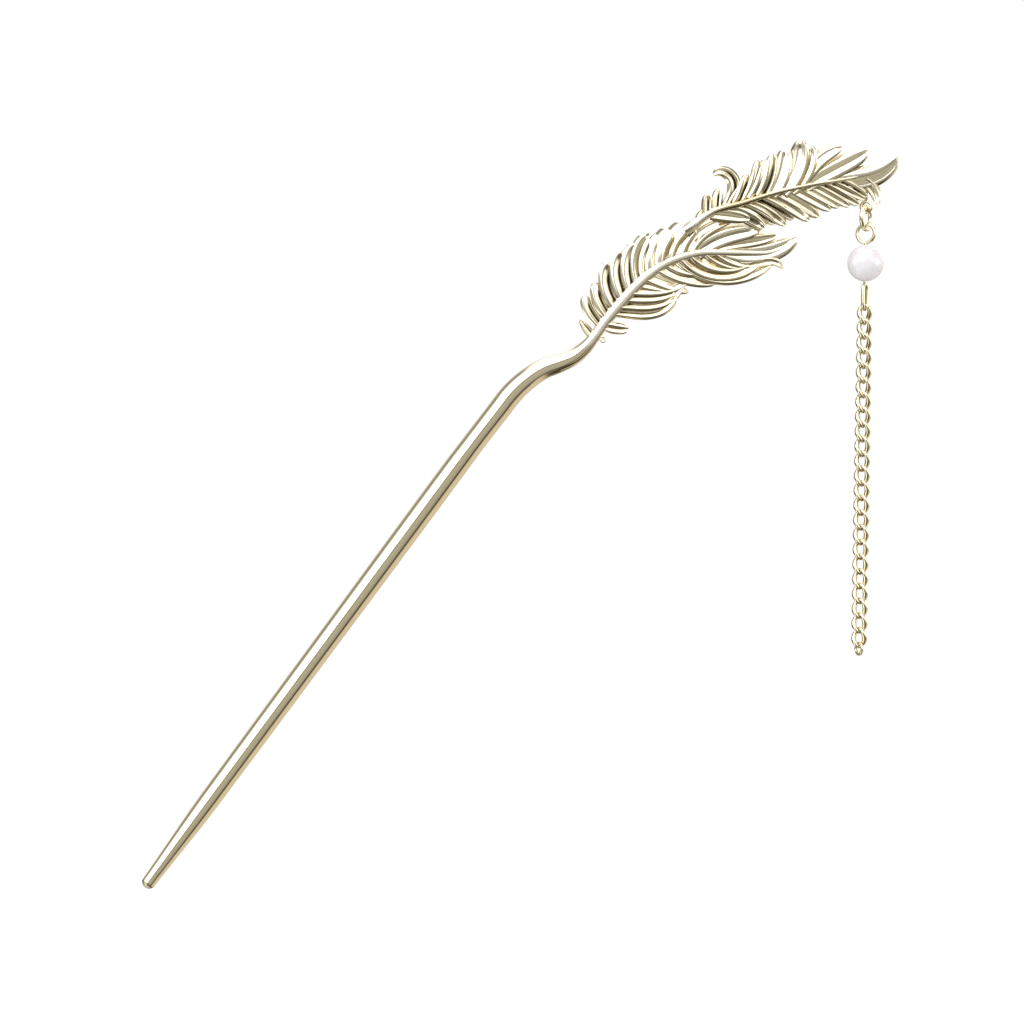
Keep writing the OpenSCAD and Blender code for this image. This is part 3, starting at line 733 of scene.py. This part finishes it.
def barb(feather, row, brown_and_shade, face):
    """A barb's shell: its third number says how much brown patina and painted shade its groove has, and face
    how its front rises across.
    """
    s = 1 - (1 - np.linspace(0, 1, BARB_STEPS + 1)) ** CROWDING

    def heading(t):
        """The parabola through the directions at t = 0, 1/2 and 1."""
        return row[START] * (1 - t) * (1 - 2 * t) + 4 * row[MIDDLE] * t * (1 - t) + row[END] * t * (2 * t - 1)

    quill = feather["quill"]
    root = on_feather(feather, (row[ALONG], np.interp(row[ALONG], quill[:, 0], quill[:, 1])))
    steps = way(feather["lean"] + heading((s[1:] + s[:-1]) / 2), feather["length"] * row[LENGTH] * np.diff(s))
    line = root + np.concatenate([np.zeros((1, 2)), np.cumsum(steps, axis=0)])
    across = way(feather["lean"] + heading(s) + 90, 1.0)
    swell = row[NARROW] + (1 - row[NARROW]) * np.sin(np.pi / 2 * np.minimum(1, s / FULL_AT))
    swell = swell * np.sqrt(np.maximum(0, 1 - (1 - TIP_SHARE) * s ** row[BLUNT]))
    half = feather["length"] * row[HALF_W] * swell * WIDER

    front = -np.cos(np.linspace(0, np.pi, FRONT_POINTS))
    back = np.cos(np.linspace(0, np.pi, BACK_POINTS + 2))[1:-1]
    u = front if row[SLOPE] >= 0 else -front
    broad = climb(row[HALF_W], BROAD_FROM, BROAD_SPAN)
    rim = bell(u, RIM_AT, RIM_WIDTH) + LOW_RIM_SHARE * bell(u, LOW_RIM_AT, LOW_RIM_WIDTH)
    inside = bell(u, LINES_AT, LINES_WIDTH)
    fine = (0.5 + 0.5 * np.cos(2 * np.pi * LINES * front)) * inside
    height = GROOVE_H * (1 - front**6) + (CREST_H - GROOVE_H) * rim + (LINES_H + BROAD_LINES_H * broad) * fine

    between_lines = inside - fine
    # Brown patina and painted shade in the groove and between its fine lines, and painted shade along the
    # lowered edge.
    dark = (GROOVE_DARK - BROAD_PALER * broad) * bell(u, GROOVE_AT, GROOVE_WIDTH)
    dark = dark + climb(-u, LOW_EDGE_FROM, LOW_EDGE_SPAN) + LINES_DARK * between_lines
    # Painted shade along both edges of every barb and between the broad leaves' fine lines.
    edge_shade = EDGE_SHADE * climb(np.abs(front), EDGE_FROM, EDGE_SPAN)
    always = np.maximum(edge_shade, BROAD_LINES_DARK * broad * between_lines)
    dark = np.clip(np.maximum(dark * brown_and_shade, always), 0, 1)
    dark = dark - BROAD_BRUSH * broad * np.clip(1 - 4 * dark, 0, 1)
    dark = np.concatenate([dark, np.full(BACK_POINTS, BACK_DARK)])
    # Painted shade near the root, where the barb leaves the quill; the darkening fades towards the tip.
    root_shade = (1 - climb(s, 0, ROOT_SPAN))[:, None] * ROOT_SHADE * brown_and_shade
    fade = 1 - FADE * climb(s, FADE_FROM, FADE_SPAN)[:, None]
    hollow = np.clip(np.where(dark > 0, dark * fade + root_shade, dark), -1, 1)

    v = np.concatenate([front, back])
    h = np.concatenate([-height, BACK_H * (1 - back**2)])
    high = THIN_SHARE + (1 - THIN_SHARE) * swell
    rolled = TIP_ROLL * (NARROW_ROLL + (1 - NARROW_ROLL) * broad) * bell(s, TIP_ROLL_AT, TIP_ROLL_LENGTH)
    h = high[:, None] * h - rolled[:, None] * (h < 0) * (1 - v**2)
    depth = np.interp(row[ALONG], (0, 1), feather["depth"])
    plane = line[:, None, :] + across[:, None, :] * (half[:, None] * v)[..., None]
    y = depth - (row[RISE] * s**2)[:, None] - face * half[:, None] * v + h
    points = np.stack([plane[..., 0], y, plane[..., 1]], axis=-1) * MM
    return skin(points, hollow)


# %% [markdown]
# Each barb is its own small leaf: some lean towards the light and have little brown patina and painted
# shade, and others have much. Two numbers for each barb say how much brown patina and painted shade its
# groove has and how its face rises across.

# %% Brown patina, painted shade and lean of the face
LOW_BROWN_AND_SHADE = [0.6, 1.0, 1.0, 1.2, 1.1, 1.0, 0.7, 0.3, 0.2, 0.2, 0.25, 0.5, 0.3, 0.4, 0.5, 0.4]
LOW_BROWN_AND_SHADE += [0.6, 0.8, 0.8, 0.7, 0.5, 0.6, 0.4, 0.3, 0.5, 0.4, 0.3, 0.3, 0.3, 0.4, 0.5]
LOW_FACE = [-0.1, 0.2, 0.25, 0.25, 0.25, 0.1, -0.1, -0.4, -0.45, -0.45, -0.4, -0.3, -0.35, -0.2, -0.05, -0.1]
LOW_FACE += [-0.1, -0.15, -0.3, -0.1, -0.3, -0.05, -0.3, -0.35, -0.25, -0.2, -0.4, -0.4, -0.4, -0.35, -0.15]
TOP_BROWN_AND_SHADE = [0.5, 0.9, 1.1, 0.8, 1.0, 0.5, 0.5, 0.4, 0.4, 0.6, 0.8, 0.8, 0.9, 0.8, 1.0]
TOP_BROWN_AND_SHADE += [1.0, 1.2, 1.3, 1.3, 1.2, 1.0, 0.9, 0.25, 0.15, 0.2, 0.4, 0.3, 0.5, 0.4, 0.6]
TOP_FACE = [-0.1, 0.15, 0.2, -0.2, 0.2, -0.3, -0.25, -0.3, -0.35, -0.2, -0.1, -0.2, 0.1, -0.1, 0.1]
TOP_FACE += [0.1, 0.1, 0.25, 0.25, 0.25, 0.15, 0.1, -0.3, -0.4, -0.4, -0.35, -0.15, 0, 0.08, 0.1]


def all_barbs(feather, rows, browns_and_shades, faces):
    """The shells of a feather's barbs, one for each row, with its share of brown patina and painted shade and
    its face.
    """
    return [barb(feather, *one) for one in zip(rows, browns_and_shades, faces, strict=True)]


low_shells = all_barbs(lower, LOW_BARBS, LOW_BROWN_AND_SHADE, LOW_FACE)
top_shells = all_barbs(upper, TOP_BARBS, TOP_BROWN_AND_SHADE, TOP_FACE)
print("one barb has", len(low_shells[0][1]), "triangles")

# %% [markdown]
# ## Hanging loop, stub and scroll
# Behind the upper feather's end a small cast loop holds the jump ring. A short stub joins it to the
# end leaf. Below the lower feather's root a bit of wire curls up into a scroll.

# %% Wire along a line
STRAIGHT_NUDGE = (0.013, 0.017, 0.011)
INNER_SHADE = 0.6


def wire(points, thickness, sides=16, closed=False):
    """Round wire: rings at right angles to a line, each starting on the side away from the line's middle.

    An open line has no such side. There a ring starts towards the bend, and a small fixed nudge gives
    a straight piece a side too. A closed wire has painted shade on its inner side.
    """
    points = np.asarray(points, dtype=float)
    n = len(points)
    if closed:
        ahead = np.roll(points, -1, axis=0) - np.roll(points, 1, axis=0)
        out = points - points.mean(axis=0)
    else:
        ahead = np.gradient(points, axis=0)
        out = np.gradient(ahead, axis=0) + np.array(STRAIGHT_NUDGE)
    ahead /= np.linalg.norm(ahead, axis=1, keepdims=True)
    out = out - ahead * np.einsum("ij,ij->i", out, ahead)[:, None]
    out /= np.linalg.norm(out, axis=1, keepdims=True)
    side = np.cross(ahead, out)
    a = np.linspace(0, 2 * np.pi, sides, endpoint=False)
    width = np.broadcast_to(np.asarray(thickness, dtype=float) / 2, (n,))[:, None, None]
    around_line = out[:, None] * np.cos(a)[None, :, None] + side[:, None] * np.sin(a)[None, :, None]
    rings = points[:, None] + width * around_line
    # Painted shade on the inner side of a closed wire.
    inner_shade = np.clip(-np.cos(a), 0, 1) * INNER_SHADE * np.ones((n, 1))
    return skin(rings * MM, inner_shade if closed else None, closed)


def circle(radius, degrees, steps, centre, start=0, sweep=360):
    """Points of an upright circle whose plane is turned about the vertical, or of a part of it."""
    closed = sweep >= 360
    a = np.radians(start) + np.linspace(0, np.radians(sweep), steps, endpoint=not closed)
    t = np.radians(degrees)
    level = radius * np.cos(a)
    return np.array(centre) + np.stack([level * np.cos(t), level * np.sin(t), radius * np.sin(a)], axis=-1)


LOOP_WIRE, LOOP_GAP, RING_WIRE, RING_D, RING_TURN = 0.6, 0.2, 0.8, 4.5, 60
TOUCH = 0.14
STUB_FLARE = 0.4
SCROLL_WIRE, SCROLL_R, SCROLL_SHRINK, SCROLL_START, SCROLL_TURNS, SCROLL_Y = 0.35, 0.5, 0.6, 120, 400, -0.175
loop_r = (RING_WIRE + LOOP_WIRE) / 2 + LOOP_GAP
loop_middle = pivot + [0, 0, LOOP_GAP - TOUCH]
loop = wire(circle(loop_r, RING_TURN - 90, 40, loop_middle), LOOP_WIRE, 18, True)
leaf_plane = on_feather(upper, STUB_SHARE)
leaf = np.array([leaf_plane[0], np.interp(STUB_SHARE[0], (0, 1), upper["depth"]), leaf_plane[1]])
loop_top = loop_middle + [0, 0, loop_r]
upwards = np.linspace(0, 1, 9)[:, None]
stub_line = loop_top * (1 - upwards) + leaf * upwards
stub = wire(stub_line, LOOP_WIRE * (1 + STUB_FLARE * upwards[:, 0]), 16)
turns = np.linspace(0, SCROLL_TURNS, 44)
curl_r = SCROLL_R * (1 - SCROLL_SHRINK * turns / SCROLL_TURNS)
curl = on_feather(lower, SCROLL_SHARE) + way(SCROLL_START - turns, curl_r)
scroll = wire(np.column_stack([curl[:, 0], np.full(len(turns), SCROLL_Y), curl[:, 1]]), SCROLL_WIRE, 12)

put(
    "feathered_stick",
    [stem, top_stem, *low_shells, *top_shells, loop, stub, scroll],
    plate,
    "stick",
    ["casting"],
)

# %% [markdown]
# ## Jump ring, pin and end link
# These are bent from round wire. The jump ring is almost closed: a fine slit shows where it was opened,
# and another where the eye's end meets the pin. The pin has its eye above the pearl and a long narrow
# loop below it. Everything hangs from the pivot, and the places leave TOUCH millimetres between the
# solids' pieces.

# %% Rings and pin
PIN_WIRE, SHANK_SHARE, EYE_D, PEARL_D, PEARL_BORE = 0.6, 0.9, 3.7, 6.0, 0.9
RING_SLIT_AT, RING_SWEEP, EYE_SLIT_AT, EYE_SWEEP = -38, 357, -88, 356
DROP_LOOP_LEN, DROP_LOOP_W, DROP_LOOP_TURN = 4.8, 2.5, 64
LINK_WIRE, LINK_W, LINK_PITCH, FIRST_TURN, CHAIN_TURN, LINK_TWIST, LINKS = 0.5, 2.4, 2.45, 20, -40, -45, 23
END_LINK_D = 2.4

ring_r = (RING_D - RING_WIRE) / 2
eye_r = (EYE_D - PIN_WIRE) / 2
eye_z = -2 * ring_r + (RING_WIRE + PIN_WIRE) / 2 + TOUCH - eye_r
pearl_z = eye_z - EYE_D / 2 - TOUCH - PEARL_D / 2
drop_loop_top = pearl_z - PEARL_D / 2 - TOUCH
drop_loop_low = drop_loop_top - DROP_LOOP_LEN + PIN_WIRE / 2
link_half = (LINK_PITCH + LINK_WIRE + TOUCH) / 2
first_link_z = drop_loop_low + (PIN_WIRE + LINK_WIRE) / 2 + TOUCH - link_half
last_link_z = first_link_z - (LINKS - 1) * LINK_PITCH
end_link_r = (END_LINK_D - LINK_WIRE) / 2
end_link_z = last_link_z - link_half + LINK_WIRE + TOUCH - end_link_r

ring_points = circle(ring_r, RING_TURN, 72, pivot + [0, 0, -ring_r], RING_SLIT_AT, RING_SWEEP)
put("jump_ring_wire", [wire(ring_points, RING_WIRE, 24)], wire_plate, "drop", ["jump_ring"])

eye_points = circle(eye_r, RING_TURN - 90, 64, pivot + [0, 0, eye_z], EYE_SLIT_AT, EYE_SWEEP)
eye = wire(eye_points, PIN_WIRE, 20)
shank_z = np.linspace(eye_z - eye_r, drop_loop_top - PIN_WIRE / 2, 12)
shank_line = pivot + np.column_stack([0 * shank_z, 0 * shank_z, shank_z])
shank = wire(shank_line, PIN_WIRE * SHANK_SHARE, 20)
drop_r = (DROP_LOOP_W - PIN_WIRE) / 2
high, low = drop_loop_top - PIN_WIRE / 2 - drop_r, drop_loop_low + drop_r
arch = np.linspace(0, np.pi, 20)
oval = np.concatenate(
    [
        np.column_stack([drop_r * np.cos(arch), high + drop_r * np.sin(arch)]),
        np.column_stack([-drop_r * np.cos(arch), low - drop_r * np.sin(arch)]),
    ]
)
turn = np.radians(DROP_LOOP_TURN)
drop_line = pivot + np.column_stack([oval[:, 0] * np.cos(turn), oval[:, 0] * np.sin(turn), oval[:, 1]])
drop_loop = wire(drop_line, PIN_WIRE, 20, True)
put("pin_wire", [eye, shank, drop_loop], wire_plate, "drop", ["eye_pin"])
end_turn = FIRST_TURN + CHAIN_TURN + 90 - LINK_TWIST
end_ring = circle(end_link_r, end_turn, 48, pivot + [0, 0, end_link_z])
put("end_ring", [wire(end_ring, LINK_WIRE, 16, True)], wire_plate, "drop", ["end_link"])

# %% [markdown]
# ## Pearl
# A drilled bead: an arc from the hole's upper rim around to its lower rim, turned about the vertical,
# and the hole's wall joins the two.

# %% Bead
hole = math.asin(PEARL_BORE / PEARL_D)
arc = np.linspace(hole, np.pi - hole, 72)
profile = np.column_stack([np.sin(arc) * PEARL_D / 2, np.cos(arc) * PEARL_D / 2])
bore = np.column_stack([np.full(6, PEARL_BORE / 2), np.linspace(profile[-1, 1], profile[0, 1], 8)[1:-1]])
outline = np.concatenate([profile, bore])
spin = np.linspace(0, 2 * np.pi, 96, endpoint=False)
bead_rings = np.stack(
    [
        outline[None, :, 0] * np.cos(spin)[:, None],
        outline[None, :, 0] * np.sin(spin)[:, None],
        np.broadcast_to(outline[:, 1], (len(spin), len(outline))),
    ],
    axis=-1,
)
bead = skin((bead_rings + pivot + [0, 0, pearl_z]) * MM, closed=True)
pearl = put("pearl_bead", [bead], nacre, "drop", ["pearl"])

# %% [markdown]
# ## Curb chain
# Each link is an oval whose upper end is twisted one way and whose lower end the other way, so that
# the links lie almost flat against each other. The line of a link is
# (b sin t cos a, b sin t sin a, h cos t), where a is the twist times cos t. The photograph's links
# look fuller along their sides, so the wire is LINK_THIN where two links meet and LINK_FULLER more
# halfway down each side, and the sides lie LINK_INWARD further in. The links still don't touch.

# %% Links
LINK_THIN, LINK_FULLER, LINK_INWARD = 0.56, 0.34, 0.03
link_t = np.linspace(0, 2 * np.pi, 48, endpoint=False)
twist = np.radians(LINK_TWIST) * np.cos(link_t)
link_side = ((LINK_W - LINK_WIRE) / 2 - LINK_INWARD) * np.sin(link_t)
link_wire = LINK_THIN + LINK_FULLER * np.sin(link_t) ** 4
link_line = np.column_stack([link_side * np.cos(twist), link_side * np.sin(twist), link_half * np.cos(link_t)])


def chain_link(i):
    """The i-th link: the same line, turned a little further and set i pitches lower."""
    spun = turned(link_line[:, :2], FIRST_TURN + CHAIN_TURN * i / (LINKS - 1))
    points, faces, dark = wire(np.column_stack([spun, link_line[:, 2]]), link_wire, 16, True)
    return points + (pivot + [0, 0, first_link_z - i * LINK_PITCH]) * MM, faces, dark


link_names = [f"link_{i:02d}" for i in range(1, LINKS + 1)]
put("curb_chain", [chain_link(i) for i in range(LINKS)], wire_plate, "drop", link_names)

# %% [markdown]
# ## Floor and lights
# The stick hangs in front of plain white in the photograph. A pale floor far below it catches nothing
# in the main view and gives the other views a ground. Two soft panels add the small highlights.

# %% Floor and panels
floor_mesh = bpy.data.meshes.new("floor")
FLOOR_Z, FLOOR_NEAR, FLOOR_FAR, FLOOR_SIDE = -0.45, -1.6, 1.4, 1.6
floor_mesh.from_pydata(
    [
        (-FLOOR_SIDE, FLOOR_NEAR, FLOOR_Z),
        (FLOOR_SIDE, FLOOR_NEAR, FLOOR_Z),
        (FLOOR_SIDE, FLOOR_FAR, FLOOR_Z),
        (-FLOOR_SIDE, FLOOR_FAR, FLOOR_Z),
    ],
    [],
    [(0, 1, 2, 3)],
)
floor_material = bpy.data.materials.new("pale_floor")
floor_material.use_nodes = True
floor_inputs = floor_material.node_tree.nodes["Principled BSDF"].inputs
floor_inputs["Base Color"].default_value = (0.85, 0.85, 0.85, 1)
floor_inputs["Roughness"].default_value = 0.9
floor_mesh.materials.append(floor_material)
floor = bpy.data.objects.new("floor", floor_mesh)
bpy.context.collection.objects.link(floor)
floor.visible_glossy = False


def panel(name, place, target, size, power):
    """A square area light that faces its target."""
    data = bpy.data.lights.new(name, "AREA")
    data.size, data.energy = size, power
    light = bpy.data.objects.new(name, data)
    bpy.context.collection.objects.link(light)
    place, target = np.array(place, dtype=float), np.array(target, dtype=float)
    light.location = place
    light.rotation_mode = "QUATERNION"
    light.rotation_quaternion = Vector(target - place).to_track_quat("-Z", "Y")
    return light


STICK_MIDDLE = (0.03, 0, 0.03)
panel("upper_left_panel", place=(-0.45, -0.6, 0.55), target=STICK_MIDDLE, size=0.5, power=3)
panel("right_panel", place=(0.6, -0.5, 0.25), target=STICK_MIDDLE, size=0.35, power=0.2)

# %% [markdown]
# The pearl shows three soft lights, at its left, top and right. Three small panels beside it give
# them. They light the pearl's gloss only: the metal already has its room.

# %% Panels for the pearl
PEARL_LIGHT, PEARL_LIGHT_FAR, PEARL_LIGHT_SIZE, PEARL_LIGHT_TILT = 0.4, 0.3, 0.16, 79
only_pearl = bpy.data.collections.new("only_pearl")
only_pearl.objects.link(pearl)
pearl_middle = (pivot + [0, 0, pearl_z]) * MM
for name, clock in (("pearl_left", 170), ("pearl_top", 80), ("pearl_right", 10)):
    sideways = way(clock, math.sin(math.radians(PEARL_LIGHT_TILT)))
    towards = np.array([sideways[0], -math.cos(math.radians(PEARL_LIGHT_TILT)), sideways[1]])
    place = pearl_middle + towards * PEARL_LIGHT_FAR
    lamp = panel(name, place, pearl_middle, PEARL_LIGHT_SIZE, PEARL_LIGHT)
    lamp.light_linking.receiver_collection = only_pearl
    lamp.visible_diffuse = False
